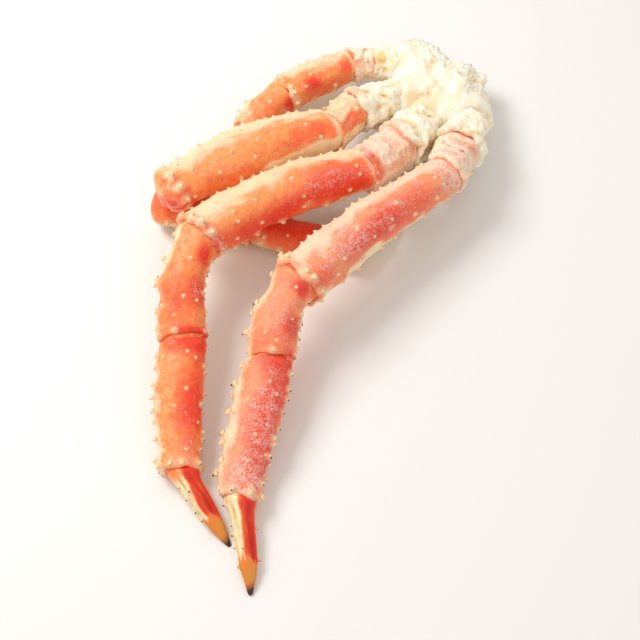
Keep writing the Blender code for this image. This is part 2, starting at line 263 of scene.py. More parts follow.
# ------------------------------------------------------------------------------------------
# The shoulder: a fist-sized piece of white body meat, torn off the crab with the limbs in it.
# It is bundles of flaky meat that spread from one hub, ragged along the torn rim, with amber and
# brown stains near the limbs, and painted shade in amber, brown and cream in the folds where the
# limbs go in and in the creases between the lumps. It lies flat where it rests.
# Where the bundles meet, how far each reaches back behind that, and how thick and blended they are.
HUB = np.array([101.3, 182.1, 19.0])
HUB_BACK = 9
LOBE_HALF_HEIGHT = 20.5
LOBE_BLEND = 9
# Heading, elevation, reach and half-width of each bundle.
LOBES = (
    (128, 5, 43, 17), (117, 0, 61, 15), (99, 2, 52, 13), (80, 6, 36, 13), (55, 8, 27, 14),
    (28, 6, 33, 14), (2, 2, 39, 14), (-18, 0, 45, 14), (-38, 2, 50, 14), (-54, 6, 46, 17),
    (-82, 10, 40, 13), (-110, 8, 42, 17), (-140, 10, 36, 13), (-167, 8, 39, 17), (160, 8, 32, 14),
)
# Place, size, and strengths of the amber and brown stains.
MEAT_STAINS = (
    ((78, 214, 38), 6, 0.9, 0.1), ((72, 205, 42), 6, 0.7, 0.2), ((94, 160, 46), 5, 0.6, 0.4),
    ((84, 158, 44), 7, 0.5, 0.3), ((108, 150, 40), 7, 0.6, 0.15), ((76, 166, 40), 8, 0.5, 0.3),
)
MEAT_ROWS, MEAT_COLUMNS = 200, 470
# The ball on which the ribs of the bundles are laid out, and the sizes of ribs and of knobs.
RIB_BALL, RIB_SIZE, MEAT_KNOB = 27, 17, 10
# Size and height of the flakes and of the broad swells under them.
FLAKES = ((5, 0.5), (2.8, 0.35), (1.4, 0.16), (24, 1.6))
# Heading and elevation of the side that was torn off.
TORN_SIDE = (52, 12)
# The meat rises to a collar round each limb: its reach, height and unevenness.
COLLAR_REACH, COLLAR_HEIGHT, COLLAR_UNEVEN = 4.5, 4.6, 2.2
# How narrow the creases between lumps are, and how far lumps stray from their even places.
KNOB_SOFTNESS = 6
KNOB_SCATTER = 0.45


def lattice(i, j, k, seed):
    """A repeatable number from -1 to 1 for every point of a whole-numbered lattice."""
    n = (i * 374761393 + j * 668265263 + k * 1440662683 + seed * 1274126177) & 0xffffffff
    n = ((n ^ (n >> 13)) * 1274126177) & 0xffffffff
    return ((n ^ (n >> 16)) & 0xffff) / 32767.5 - 1


def lumps(points, size, seed):
    """Smooth noise from -1 to 1: lattice numbers every `size` mm, with an S-curve between."""
    scaled = points / size
    cell = np.floor(scaled).astype(np.int64)
    x, y, z = np.moveaxis(scaled - cell, -1, 0)
    x, y, z = (t * t * (3 - 2 * t) for t in (x, y, z))
    i, j, k = np.moveaxis(cell, -1, 0)
    total = 0
    for di, wx in ((0, 1 - x), (1, x)):
        for dj, wy in ((0, 1 - y), (1, y)):
            for dk, wz in ((0, 1 - z), (1, z)):
                total = total + wx * wy * wz * lattice(i + di, j + dj, k + dk, seed)
    return total


def layers(points, sizes, seed):
    """Sum of smooth noises, each of a size and a height in mm, with the seeds counting up."""
    return sum(height * lumps(points, size, seed + k) for k, (size, height) in enumerate(sizes))


def knobs(points, size, seed):
    """Rounded lumps `size` mm apart, 0 on top and -1 in the creases: log of a sum of bells."""
    scaled = points / size
    cell = np.floor(scaled).astype(np.int64)
    total = 0
    for shift in np.ndindex(3, 3, 3):
        i, j, k = np.moveaxis(cell + np.array(shift) - 1, -1, 0)
        spot = [n + 0.5 + KNOB_SCATTER * lattice(i, j, k, seed + axis)
                for axis, n in enumerate((i, j, k))]
        apart = ((scaled - np.stack(spot, -1)) ** 2).sum(-1)
        total = total + np.exp(-KNOB_SOFTNESS * apart)
    low, high = np.percentile(np.log(total), (2, 98))
    return (np.log(total) - high) / (high - low)


def crests(points, size, seed):
    """Sharp teeth from 0 to 1: smooth noise folded at 0, cubed so that only its crests stand."""
    return np.maximum(1 - 2 * np.abs(lumps(points, size, seed)), 0) ** 3


def bell(x, width):
    """Bell curve: 1 at 0, 0.37 at the width."""
    return np.exp(-(x / width) ** 2)


def closed_skins(grids, poles):
    """Points and faces of closed grids of one size: rows of quads, and a fan at each pole."""
    count, rows, columns = grids.shape[:3]
    index = np.arange(rows * columns).reshape(rows, columns)
    ahead = np.roll(index, -1, 1)
    quads = np.stack([index[:-1], index[1:], ahead[1:], ahead[:-1]], -1).reshape(-1, 4)
    low = np.full(columns, rows * columns)
    fans = np.concatenate([np.stack([low, index[0], ahead[0]], -1),
                           np.stack([index[-1], low + 1, ahead[-1]], -1)])
    points = np.concatenate([grids.reshape(count, -1, 3), poles], 1).reshape(-1, 3)
    shift = (rows * columns + 2) * np.arange(count)[:, None, None]
    return points, (quads + shift).reshape(-1, 4), (fans + shift).reshape(-1, 3)


def one_skin(grid, poles, masks):
    """One closed grid as a skin, and its masks with the mean of each end row for the poles."""
    whole = {name: np.broadcast_to(values, grid.shape[:2]) for name, values in masks.items()}
    return closed_skins(grid[None], np.array(poles)[None]), {
        name: np.concatenate([values.ravel(), [values[0].mean(), values[-1].mean()]])
        for name, values in whole.items()}


def make_mesh(name, skin, masks, material):
    """Object of a skin given in millimetres, with each mask as an attribute of its points."""
    points, quads, fans = skin
    points = np.maximum(points, (-np.inf, -np.inf, 0.0))
    mesh = bpy.data.meshes.new(name)
    mesh.vertices.add(len(points))
    mesh.vertices.foreach_set("co", (points * MM).astype(np.float32).ravel())
    corners = np.concatenate([quads.ravel(), fans.ravel()]).astype(np.int32)
    starts = np.concatenate([np.arange(len(quads)) * 4,
                             len(quads) * 4 + np.arange(len(fans)) * 3]).astype(np.int32)
    mesh.loops.add(len(corners))
    mesh.loops.foreach_set("vertex_index", corners)
    mesh.polygons.add(len(starts))
    mesh.polygons.foreach_set("loop_start", starts)
    mesh.update(calc_edges=True)
    for mask, values in masks.items():
        layer = mesh.attributes.new(mask, "FLOAT", "POINT")
        layer.data.foreach_set("value", np.asarray(values, np.float32).ravel())
    mesh.shade_smooth()
    mesh.materials.append(material)
    made = bpy.data.objects.new(name, mesh)
    bpy.context.scene.collection.objects.link(made)
    return made


def shade(red, green, blue):
    """A display colour from 0 to 255 as the linear colour that shaders use."""
    value = np.array([red, green, blue]) / 255
    linear = np.where(value > 0.04045, ((value + 0.055) / 1.055) ** 2.4, value / 12.92)
    return (*(float(v) for v in linear), 1.0)


class Wire:
    """A node's output. Adding to it, taking away or multiplying adds the Math node that does so."""

    def __init__(self, paint, socket):
        self.paint = paint
        self.socket = socket

    def maths(self, operation, first, second):
        return self.paint.node("ShaderNodeMath", {"operation": operation}, {0: first, 1: second})

    def __add__(self, other):
        return self.maths("ADD", self, other)

    def __sub__(self, other):
        return self.maths("SUBTRACT", self, other)

    def __rsub__(self, other):
        return self.maths("SUBTRACT", other, self)

    def __mul__(self, other):
        return self.maths("MULTIPLY", self, other)

    def __abs__(self):
        return self.maths("ABSOLUTE", self, 0)

    __radd__ = __add__
    __rmul__ = __mul__


class Paint:
    """A material round one Principled shader, whose colour is laid on in coats."""

    def __init__(self, name, first_coat, **constants):
        self.material = bpy.data.materials.new(name)
        self.material.use_nodes = True
        self.tree = self.material.node_tree
        self.shader = self.tree.nodes["Principled BSDF"]
        for socket, value in constants.items():
            self.shader.inputs[socket.replace("_", " ")].default_value = value
        self.colour = shade(*first_coat)
        self.place = self.node("ShaderNodeTexCoord", {}, {}, "Object")

    def node(self, kind, settings, inputs, output=0):
        """Add a node: its settings first, then the value or wire of each of its sockets."""
        made = self.tree.nodes.new(kind)
        for setting, value in settings.items():
            setattr(made, setting, value)
        for socket, value in inputs.items():
            if isinstance(value, Wire):
                self.tree.links.new(value.socket, made.inputs[socket])
            else:
                made.inputs[socket].default_value = value
        return Wire(self, made.outputs[output])

    def mask(self, name):
        """A mask stored on the skin's points."""
        return self.node("ShaderNodeAttribute", {"attribute_name": name}, {}, "Fac")

    def noise(self, size, detail=2.0, shift=0.0):
        """Cloudy noise from 0 to 1 with lumps of a size in mm."""
        place = self.node("ShaderNodeVectorMath", {"operation": "ADD"},
                          {0: self.place, 1: (shift, shift / 2, -shift)}, "Vector")
        return self.node("ShaderNodeTexNoise", {"normalize": True},
                         {"Vector": place, "Scale": 1 / (size * MM), "Detail": detail,
                          "Roughness": 0.55}, "Fac")

    def ramp(self, value, low, high):
        """S-curve from 0 at low to 1 at high."""
        return self.node("ShaderNodeMapRange", {"interpolation_type": "SMOOTHSTEP"},
                         {"Value": value, "From Min": low, "From Max": high})

    def cover(self, amount, colour):
        """Lay on a coat: the colour so far where the amount is 0, the new one where it is 1."""
        self.colour = self.node("ShaderNodeMix", {"data_type": "RGBA"},
                                {0: amount, 6: self.colour, 7: shade(*colour)}, 2)

    def coat(self, value, low, high, colour, most=1):
        """Lay on a coat that grows from nothing at low to its most at high."""
        amount = self.ramp(value, low, high)
        self.cover(amount if most == 1 else amount * most, colour)

    def finish(self, roughness, height, depth):
        """Connect colour, roughness and a relief whose full height is a depth in mm."""
        relief = self.node("ShaderNodeBump", {}, {"Height": height, "Strength": 1.0,
                                                  "Distance": depth * MM}, "Normal")
        for socket, wire in (("Base Color", self.colour), ("Roughness", roughness),
                             ("Normal", relief)):
            self.tree.links.new(wire.socket, self.shader.inputs[socket])
        return self.material


def meat_paint():
    """White flaky meat: painted shade in cream-tan in the hollows, amber and brown stains, painted
    shade in amber and brown in the folds, blushing pink.
    """
    paint = Paint("crab_meat", (254, 248, 230), Subsurface_Weight=0.5, Subsurface_Scale=0.006,
                  Subsurface_Radius=(1.0, 0.75, 0.4), IOR=1.38)
    cloud = paint.noise(8, 3)
    grain = paint.noise(2.2, 3)
    fine = paint.noise(0.8, 2)
    wander = (cloud - 0.5) * 0.7 + (grain - 0.5) * 0.5
    paint.coat(cloud + (fine - 0.5) * 0.3, 0.35, 0.7, (253, 236, 206))
    paint.coat(paint.mask("blush") + wander, 0.3, 0.95, (244, 190, 160), 0.9)
    # Amber stains, with amber painted shade along the folds where the limbs go in.
    paint.coat(paint.mask("stain") + wander, 0.4, 0.95, (240, 200, 128), 0.85)
    # Painted shade: cream-tan in the creases between the lumps and in the folds beside the limbs.
    paint.coat(paint.mask("hollow") + (fine - 0.5) * 0.3, 0.15, 1.1, (240, 200, 140), 0.8)
    # Brown stains, with brown painted shade in the folds and under the deep creases.
    paint.coat(paint.mask("dark") + wander * 0.3, 0.35, 1.0, (158, 104, 52), 0.9)
    return paint.finish(0.5 - fine * 0.12, fine * 0.5 + grain * 0.5, 0.4)


def meat_directions():
    """Azimuths and tilts of the skin's grid, running clockwise so that its faces look out."""
    azimuth = -360 * np.arange(MEAT_COLUMNS) / MEAT_COLUMNS
    tilt = -90 + 180 * (np.arange(MEAT_ROWS) + 0.5) / MEAT_ROWS
    return compass(azimuth[None, :], tilt[:, None])


def bundle_reach(rays):
    """Distance from the hub to the blended bundles: a high-power mean of ellipsoids' surfaces."""
    total = 0
    for heading, elevation, reach, half_width in LOBES:
        axis = compass(heading, elevation)
        side = unit(np.cross(axis, UP))
        upward = np.cross(side, axis)
        radius = (reach + HUB_BACK) / 2
        offset = (reach - HUB_BACK) / 2 / radius
        x = rays @ axis / radius
        y = rays @ side / half_width
        z = rays @ upward / LOBE_HALF_HEIGHT
        a = x * x + y * y + z * z
        b = x * offset
        total = total + ((b + np.sqrt(b * b + a * (1 - offset * offset))) / a) ** LOBE_BLEND
    return total ** (1 / LOBE_BLEND)


def beside_limbs(points):
    """Distance in mm from points to the nearest coxa, from spheres along each centre line."""
    s = np.linspace(0, 1, 14)
    apart = []
    for coxa in (limb["coxa"] for limb in limbs.values()):
        radius = (through(coxa.piece.widths, s) + through(coxa.piece.depths, s)) / 4
        apart += [np.linalg.norm(points - centre, axis=-1) - r
                  for centre, r in zip(coxa.centre(s), radius)]
    return np.min(apart, 0)


def meat_skin():
    """Long bundles that run out from the hub, flakes across them, and a ragged torn rim."""
    rays = meat_directions()
    points = HUB + rays * bundle_reach(rays)[..., None]
    # Rounded lumps on the directions are drawn out along the bundles, away from the hub.
    bent = rays * RIB_BALL + 3.5 * np.stack([lumps(points, 15, 3 + axis) for axis in range(3)], -1)
    rib = knobs(bent, RIB_SIZE, 8)
    knob = knobs(points + 2.5 * lumps(points, 11, 7)[..., None], MEAT_KNOB, 9)
    torn = smooth((rays @ compass(*TORN_SIDE) - 0.1) / 0.6)
    teeth = crests(points, 8, 16) + 0.4 * crests(points, 4.5, 17)
    swell = (6.4 * rib + 2.3 * knob + 5.0 + layers(points, FLAKES, 11)
             + (5.0 * teeth - 1.2) * torn)
    collar = bell(np.maximum(beside_limbs(points) - 1, 0), COLLAR_REACH)
    swell = (swell * (1 - 0.5 * collar)
             + (COLLAR_HEIGHT + COLLAR_UNEVEN * lumps(points, 8, 18)) * collar)
    points = points + rays * swell[..., None]
    points[..., 2] = np.maximum(points[..., 2], FLOOR_GAP)
    fold = bell(np.maximum(beside_limbs(points), 0), 1.8)
    deep = smooth((-rib - 0.6) / 0.4)
    stain, dark = np.zeros((2, *fold.shape))
    for place, size, amber, brown in MEAT_STAINS:
        spot = bell(np.linalg.norm(points - np.array(place), axis=-1), size)
        stain += amber * spot
        dark += brown * spot
    # Brown painted shade in the folds beside the limbs and in the deep creases that face down.
    dark += fold * (0.3 + 0.4 * lumps(points, 14, 19)) + 0.2 * smooth(-rays[..., 2] * 2) * deep
    # Painted shade in the creases between bundles and lumps and in the folds beside the limbs.
    hollow = deep * 0.7 + smooth((-knob - 0.65) / 0.4) * 0.3 + fold * 0.45
    # Besides the placed stains, the amber mask also carries painted shade along the folds.
    return points, {"hollow": np.clip(hollow, 0, 1), "stain": np.clip(stain + 0.25 * fold, 0, 1),
                    "dark": np.clip(dark, 0, 1), "blush": 0}


meat_material = meat_paint()
meat_points, meat_masks = meat_skin()
meat_poles = (meat_points[0].mean(0), meat_points[-1].mean(0))
shoulder = make_mesh("shoulder_meat", *one_skin(meat_points, meat_poles, meat_masks),
                     meat_material)
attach(shoulder, "root")
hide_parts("shoulder")

# ------------------------------------------------------------------------------------------
# The long shells of the walking legs and the arm: thin, hard shell that cooking turned orange
# and red, and cream underneath. The pale field along the outer edge, which faces the key light,
# is partly the shell's own pale colour and partly painted light. Each has a pale margin where it
# joins, blunt cream warts in rows and stouter spines on both edges, under a little frost.
spine_feet = {name: [] for name in limbs}
finished = []
PATCH_POWER = 2.6


def turned(angle, centre):
    """Angle from a centre, from -180 to 180 degrees."""
    return (angle - centre + 180) % 360 - 180


def patches(shell, spots):
    """Sum of soft oval patches: strength times exp(-lengthwise^2.6 - around^2.6).

    Each has its share of the length, its angle round the shell (0 outer side, 90 top, 180 inner
    side), how far it spreads along in lengths and around in degrees, and its strength.
    """
    total = np.zeros(shell.points.shape[:2])
    for s, angle, length, spread, strength in spots:
        lengthwise = np.abs((shell.s[:, None] - s) / length)
        around = np.abs(turned(shell.angle[None, :], angle) / spread)
        total += strength * np.exp(-lengthwise ** PATCH_POWER - around ** PATCH_POWER)
    return np.clip(total, -0.5, 1.5)


def arc_band(shell, start, end, soft, ragged=1):
    """1 between two angles that vary along the shell, falling to 0 over the soft degrees beyond."""
    start, end, soft = (through(edge if np.ndim(edge) else (edge, edge), shell.s)[:, None]
                        for edge in (start, end, soft))
    beyond = np.abs(turned(shell.angle[None, :], (start + end) / 2)) - (end - start) / 2
    beyond = beyond + ragged * (9 * lumps(shell.base, 9, 180) + 7 * drawn_out(shell, 3, 3, 181))
    return 1 - smooth(beyond / soft + 0.5)


def drawn_out(shell, size, stretch, seed):
    """Noise that is drawn out along a shell: lumps on its places with its length shortened."""
    angle = np.radians(shell.angle)[None, :]
    radius = shell.piece.widths[1] / 2
    places = np.broadcast_arrays(shell.s[:, None] * shell.piece.length / stretch,
                                 radius * np.cos(angle), radius * np.sin(angle))
    return lumps(np.stack(places, -1), size, seed)


def root_line(shell, width):
    """1 on the knob at the root, falling off as a bell curve along the shell."""
    return bell(np.maximum(shell.from_root, 0), width)


def joint_relief(shell, seed, neck, flare=0, wave=0, arc=0, slant=0):
    """Waist and margin at the root, a flared rim at the tip that is wavy, arched and slanting."""
    root, tip = shell.from_root, shell.to_tip
    uneven = 1 + 0.4 * lumps(shell.base, 9, seed)
    shell.swell += neck * (0.5 * bell(root - 6, 3.2) - bell(root, 2.2)
                           - 0.3 * bell(root - 12.5, 3.6)) * uneven
    knobbly = uneven + 1.3 * lumps(shell.base, 6, seed + 3)
    shell.swell += flare * (bell(tip, 3.4) - 0.5 * bell(tip - 9, 4)) * knobbly
    shell.slip += wave * layers(shell.base, ((11, 1), (5, 0.5)), seed + 1) * np.exp(-tip / 5)
    angle = np.radians(shell.angle)[None, :]
    shell.slip -= arc * (np.sin(angle) ** 2 - 0.5 * np.cos(angle)) * np.exp(-tip / 7)
    shell.slip -= slant * np.cos(angle) * np.exp(-tip / 8)


def knobbly_rim(shell, seed, height, size, reach):
    """Rounded lumps of cream shell round the rim, with soft creases between them."""
    lump = knobs(shell.base + 0.2 * size * lumps(shell.base, size, seed)[..., None], size, seed + 1)
    near = bell(shell.to_tip, reach)
    shell.swell += height * (lump + 0.5) * near
    return smooth((lump + 0.6) / 0.5) * near


def uneven_skin(shell, seed, low, fine):
    """Broad dents and bulges, and the pebbled grain of the shell."""
    shell.swell += layers(shell.base, ((24, low), (11, 0.5 * low), (3.4, fine), (1.7, 0.8 * fine)),
                          seed)


def keel(shell, angle, height, width):
    """A blunt, broken ridge along the shell that fades before its ends."""
    fade = smooth(shell.from_root / 14) * smooth(shell.to_tip / 8 + 0.2)
    broken = 0.75 + 0.5 * lumps(shell.base, 7, angle)
    shell.swell += height * bell(turned(shell.angle, angle)[None, :], width) * fade * broken


def stand(shell, random, s, angle, height, foot, blunt, dark, lean):
    """Note a spine at a place, a little off its size, on a low bell-shaped hump of its own."""
    grow = random.uniform(0.7, 1.25)
    foot = foot * random.uniform(0.85, 1.15)
    body = np.flatnonzero((shell.from_root[:, 0] > 0) & (shell.to_tip[:, 0] > 0))
    i = int(body[int(s * (len(body) - 1))])
    j = int(angle % 360 / 360 * len(shell.angle)) % len(shell.angle)
    broad = 1.5 + 0.25 * min(height, 3)
    radius = foot * broad
    reach = int(2.5 * radius / GRID_STEP) + 1
    near = slice(max(i - reach, 0), i + reach + 1)
    hump = bell(np.linalg.norm(shell.base[near] - shell.base[i, j], axis=-1), radius)
    shell.swell[near] += height * 0.25 * broad * grow * hump
    shell.masks["wart"][near] = np.maximum(shell.masks["wart"][near], hump)
    shell.feet.append((i, j, foot, height * 0.6 * grow, blunt, dark, lean))


def set_spines(shell, random, rows, margin=(7, 5), grow=1.0):
    """Spines in rows, each a little off its even place, clear of a margin at root and tip.

    A row has its angle, spacing, height, foot radius, bluntness and the dark of the tips.
    """
    shell.masks["wart"] = np.zeros(shell.points.shape[:2])
    length = shell.piece.length
    room = length - sum(margin)
    for angle, spacing, height, foot, blunt, dark in rows:
        share = grow if height > 2 else 1
        count = max(int(room / spacing), 1)
        for k in range(count):
            place = margin[0] + (k + random.uniform(0.12, 0.88)) * room / count
            stand(shell, random, place / length, angle + random.uniform(-9, 9), height * share,
                  foot * share, blunt, dark, lean=0.5)


def rim_spines(shell, random, spacing, height, foot, dark):
    """Spines along the rim that point towards the tip."""
    for k in range(int(360 / spacing)):
        stand(shell, random, 0.985, (k + random.uniform(0.15, 0.85)) * spacing, height, foot,
              0.7, dark, lean=1.5)


def make_shell(limb_name, shell, material):
    """Press the relief in, note how each spine stands and points, and mesh the shell."""
    shell.press()
    for i, j, foot, height, blunt, dark, lean in shell.feet:
        aim = unit(shell.normals[i, j] + lean * shell.along)
        spine_feet[limb_name].append((*shell.points[i, j], *aim, *shell.along, foot, height, blunt,
                                      dark * (0.88 + 0.22 * lattice(i, j, 0, 190))))
    node = limb_name + "_" + shell.piece.name
    made = make_mesh(node + "_shell", *one_skin(shell.points, shell.poles, shell.masks), material)
    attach(made, "root")
    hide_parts(node)
    finished.append(shell)


def shell_paint(name, orange, coral, red, peach, cream, crease):
    """Cooked shell: orange to red fields, pale fields (partly own colour, partly painted light on
    the lit side), freckles, cream warts, crusts of frost.
    """
    paint = Paint(name, orange, Subsurface_Weight=0.15, Subsurface_Scale=0.002, IOR=1.42)
    broad = paint.noise(20, 2)
    cloud = paint.noise(6, 3, 0.3)
    grain = paint.noise(2.0, 2, 0.7)
    fine = paint.noise(0.9, 2, 1.1)
    wander = (broad - 0.5) * 0.5 + (cloud - 0.5) * 0.7 + (grain - 0.5) * 0.5
    red_mask = paint.mask("red") + wander
    paint.coat(red_mask, 0.0, 0.5, coral)
    paint.coat(red_mask, 0.4, 1.0, red)
    paint.coat(grain + (fine - 0.5) * 0.6, 0.5, 0.85, peach, 0.3)
    paint.coat((1 - grain) + (cloud - fine) * 0.7, 0.4, 0.85, red, 0.45)
    # The pale coat is partly the shell's own pale colour and partly painted light on the side that
    # faces the key light.
    pale = paint.ramp(paint.mask("pale") + wander * 0.9, 0.2, 0.95)
    paint.cover(pale * (1.02 - paint.ramp(cloud + (grain - 0.5) * 0.7, 0.5, 0.8) * 0.4), peach)
    paint.coat(paint.mask("cream") + wander * 0.8, 0.25, 0.95, cream)
    paint.coat(paint.mask("crease") + wander * 0.3, 0.25, 0.95, crease)
    paint.coat(paint.mask("wart") + (fine - 0.5) * 0.4, 0.25, 0.95, (253, 212, 168), 0.75)
    # Frost grows as a net of crystals, the crests of folded noise, over a thin pink veil.
    ice = paint.noise(2.4, 2, 2.2)
    frost_mask = paint.mask("frost")
    net = 1 - abs(ice - 0.5) * 8 + (fine - 0.5) * 1.4 + (cloud - 0.5) * 2.4
    frost = paint.ramp(net + frost_mask * 1.2, 1.0, 2.1)
    paint.coat(frost_mask + wander, 0.2, 1.6, (252, 180, 150), 0.3)
    paint.cover(frost * paint.ramp(frost_mask, -0.5, 1.0) * 0.7, (254, 222, 206))
    return paint.finish(0.38 + frost * 0.2 + (cloud - 0.5) * 0.2,
                        grain * 0.5 + fine * 0.5 + frost * 0.4, 0.55)


orange_shell = shell_paint("orange_shell", (252, 156, 88), (251, 116, 64), (241, 64, 32),
                           (254, 214, 172), (253, 226, 182), (206, 60, 30))
pink_shell = shell_paint("pink_shell", (252, 154, 104), (249, 116, 78), (236, 66, 42),
                         (253, 212, 178), (253, 226, 186), (206, 60, 36))

MERUS_ROWS = (
    (30, 9, 2.2, 1.5, 0.9, 0), (66, 34, 0.9, 1.0, 0.6, 0), (100, 30, 1.0, 1.1, 0.5, 0),
    (138, 36, 1.0, 1.1, 0.5, 0), (172, 30, 1.4, 1.5, 0.5, 0), (202, 24, 2.6, 2.3, 0.7, 0),
    (240, 28, 1.6, 1.5, 0.6, 0), (290, 28, 1.4, 1.4, 0.6, 0), (340, 13, 2.2, 1.6, 0.8, 0),
)
# For each long shell: where the pale outer edge ends (a field that is partly the shell's own
# pale colour and partly painted light on the side facing the key light) and the cream underside
# begins, in degrees from root to tip, and its patches of red, of frost, of cream and of dark red.
MERUS_LOOKS = {
    "arm": dict(
        edge=(80, 88, 76), belly=(205, 200, 205), seed=20, paint=orange_shell,
        red=((0.14, 122, 0.1, 26, 0.8), (0.66, 130, 0.12, 24, 1.0), (0.5, 175, 0.4, 30, 0.4)),
        frost=((0.3, 80, 0.4, 40, 0.3),), blot=(), crease=()),
    "leg_front": dict(
        edge=(78, 83, 86, 82), belly=(152, 158, 200, 214), seed=30, paint=orange_shell,
        red=((0.15, 115, 0.17, 30, 0.55), (0.36, 128, 0.16, 22, 0.35), (0.7, 155, 0.16, 30, 0.4),
             (0.6, 105, 0.5, 45, -0.3), (1.0, 185, 0.07, 40, 1.2), (0.97, 110, 0.05, 40, 0.5)),
        frost=((0.8, 100, 0.25, 60, 0.3), (0.3, 70, 0.3, 30, 0.3)),
        blot=((0.42, 172, 0.07, 14, 0.55),), crease=()),
    "leg_middle": dict(
        edge=(84, 80, 86, 98, 94), belly=(186, 204, 216, 216), seed=40, paint=orange_shell,
        # The deep red patch at 0.62 and 186 degrees, on the side away from the key light, is
        # painted shade over the shell's own red.
        red=((0.22, 138, 0.2, 52, 1.05), (0.12, 165, 0.12, 26, 0.4), (0.62, 186, 0.18, 36, 0.95),
             (0.5, 150, 0.14, 26, 0.5), (0.85, 168, 0.14, 34, 0.6), (1.0, 140, 0.05, 60, 0.8)),
        frost=((0.28, 124, 0.24, 42, 0.55), (0.0, 110, 0.05, 80, 0.5), (0.8, 90, 0.25, 40, 0.25),
               (0.98, 140, 0.04, 60, 0.7)),
        blot=((0.39, 174, 0.05, 14, 0.5), (0.0, 205, 0.25, 14, 0.7)), crease=()),
    "leg_rear": dict(
        edge=(96, 88, 84, 86, 84), belly=(196, 186, 178, 190), seed=50, paint=pink_shell,
        red=((0.34, 135, 0.17, 44, 0.6), (0.52, 132, 0.12, 38, 1.0), (0.7, 130, 0.1, 32, 0.8),
             (0.93, 140, 0.08, 28, 0.6)),
        frost=((0.0, 120, 0.13, 110, 1.2), (0.28, 115, 0.16, 70, 0.4), (0.55, 110, 0.2, 60, 0.45),
               (0.8, 110, 0.2, 70, 0.6)),
        blot=((0.6, 174, 0.05, 13, 0.8), (0.47, 158, 0.04, 11, 0.55)),
        crease=((0.1, 140, 0.016, 9, 1.2),)),
}
for limb_name, looks in MERUS_LOOKS.items():
    merus = limbs[limb_name]["merus"]
    seed = looks["seed"]
    random = np.random.default_rng(seed)
    merus.lay_grid(lip=2.0)
    joint_relief(merus, seed, neck=0.8, flare=0.4, wave=2.6, arc=-0.6)
    knobbly = knobbly_rim(merus, seed + 5, height=3.6, size=8, reach=7)
    uneven_skin(merus, seed, low=1.3, fine=0.16)
    keel(merus, angle=36, height=0.6, width=14)
    keel(merus, angle=196, height=0.9, width=12)
    set_spines(merus, random, MERUS_ROWS)
    rim_spines(merus, random, spacing=38, height=3.2, foot=2.3, dark=0)
    before_rim = smooth(merus.to_tip / 9)
    merus.masks["red"] = patches(merus, looks["red"])
    # Pale field on the outer side, which faces the key light: partly the shell's own colour, partly
    # painted light.
    merus.masks["pale"] = (0.4 + 0.6 * before_rim) * arc_band(
        merus, np.subtract(looks["edge"], 120), looks["edge"], soft=(38, 54, 66, 66), ragged=1.3)
    merus.masks["cream"] = np.clip(
        arc_band(merus, looks["belly"], 335, soft=30) * 0.9 * before_rim
        + patches(merus, looks["blot"]) + 0.55 * knobbly + 0.7 * bell(merus.from_root - 2, 4.5),
        0, 1)
    merus.masks["crease"] = np.clip(0.6 * root_line(merus, 1.0) + patches(merus, looks["crease"]),
                                    0, 1)
    merus.masks["frost"] = np.maximum(patches(merus, looks["frost"]), 0)
    make_shell(limb_name, merus, looks["paint"])

# ------------------------------------------------------------------------------------------
# The two middle shells of each leg, beyond the knee: the same shell, but set with broad cream
# spines along both edges, many with a point of dark horn. The rim of the first arcs back over
# the round red end of the second. The arm's wrist and its claw's palm are made in the same way.
SHIN_ROWS = (
    (8, 11.5, 4.0, 2.4, 0.95, 0.95), (34, 22, 1.5, 1.3, 0.7, 0.7), (72, 50, 0.9, 1.0, 0.5, 0),
    (104, 26, 1.1, 1.1, 0.5, 0), (140, 40, 1.0, 1.0, 0.5, 0), (172, 9.5, 2.3, 1.4, 0.9, 1.1),
    (205, 17, 2.2, 1.5, 0.8, 0.9), (245, 24, 1.8, 1.4, 0.7, 0.9), (290, 24, 1.8, 1.4, 0.7, 0.9),
    (338, 17, 3.0, 1.9, 0.9, 0.95),
)
# How the two differ: relief of the joints, bulge at the root, cream along the rim, rim spines.
SHIN_ENDS = {
    "carpus": dict(joint=dict(wave=0.7, arc=2.6), bulge=2.0, cream_rim=0,
                   rim=dict(spacing=60, height=2.0, foot=1.7, dark=0.7)),
    "propodus": dict(joint=dict(wave=2.2, slant=2.4), bulge=0, cream_rim=1,
                     rim=dict(spacing=44, height=3.4, foot=2.0, dark=0.8)),
}
